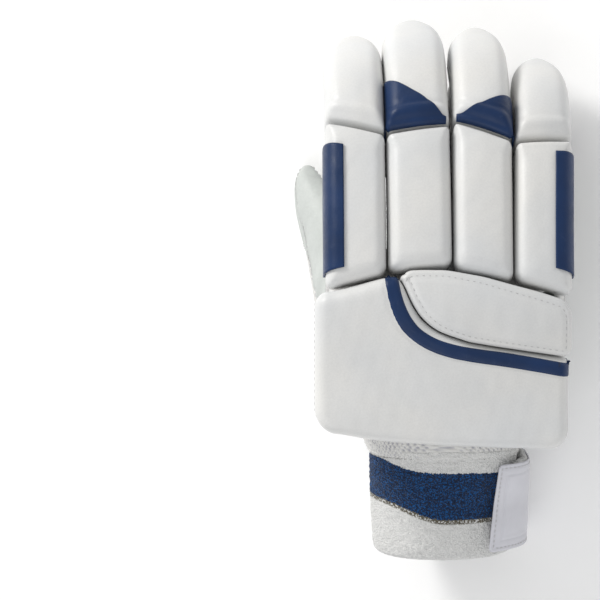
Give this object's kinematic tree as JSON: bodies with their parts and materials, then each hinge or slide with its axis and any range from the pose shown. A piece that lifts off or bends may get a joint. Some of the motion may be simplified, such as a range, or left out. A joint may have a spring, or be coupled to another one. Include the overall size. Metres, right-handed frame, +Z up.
{
  "type": "cricket batting glove",
  "caption": "Padded leather batting glove for the right hand, with foam pads over the fingers and back, a hollow thumb, a knitted side band and a towelling cuff with a strap.",
  "frame": {"origin": "on the floor, under the centre of the bounding box, with the glove resting palm down", "axes": "+Y from the cuff towards the fingertips, +Z up out of the back of the hand, +X towards the little finger"},
  "size_m": [0.1702, 0.2744, 0.1226],
  "materials": {
    "white_leather": "smooth white leather with a fine grain",
    "palm_leather": "soft thin leather, slightly grey",
    "blue_leather": "smooth dark blue leather",
    "knit": "ribbed knit, white with dark blue and grey stripes",
    "mesh_fabric": "white spacer mesh",
    "towelling": "looped towelling, white with one dark blue band",
    "tab_vinyl": "smooth coated leather with a stitched edge"
  },
  "bodies": {
    "root": {"back_panel": "white_leather", "wrist_mesh": "mesh_fabric", "side_band": "knit", "palm_panel": "palm_leather", "thumb_leather": "palm_leather", "thumb_mesh": "mesh_fabric", "thumb_tip_patch": "palm_leather", "mid_pad_index": "white_leather", "mid_pad_middle": "white_leather", "mid_pad_ring": "white_leather", "mid_pad_little": "white_leather", "tip_pad_index": "white_leather", "tip_pad_middle": "white_leather", "tip_pad_ring": "white_leather", "tip_pad_little": "white_leather", "side_panel_index": "blue_leather", "side_panel_little": "blue_leather", "tip_triangle_middle": "blue_leather", "tip_triangle_ring": "blue_leather", "knuckle_pad": "white_leather", "hand_pad": "white_leather", "hand_pad_stripe": "blue_leather", "cuff": "towelling", "wrist_strap": "towelling", "strap_tab": "tab_vinyl"}
  },
  "joints": []
}
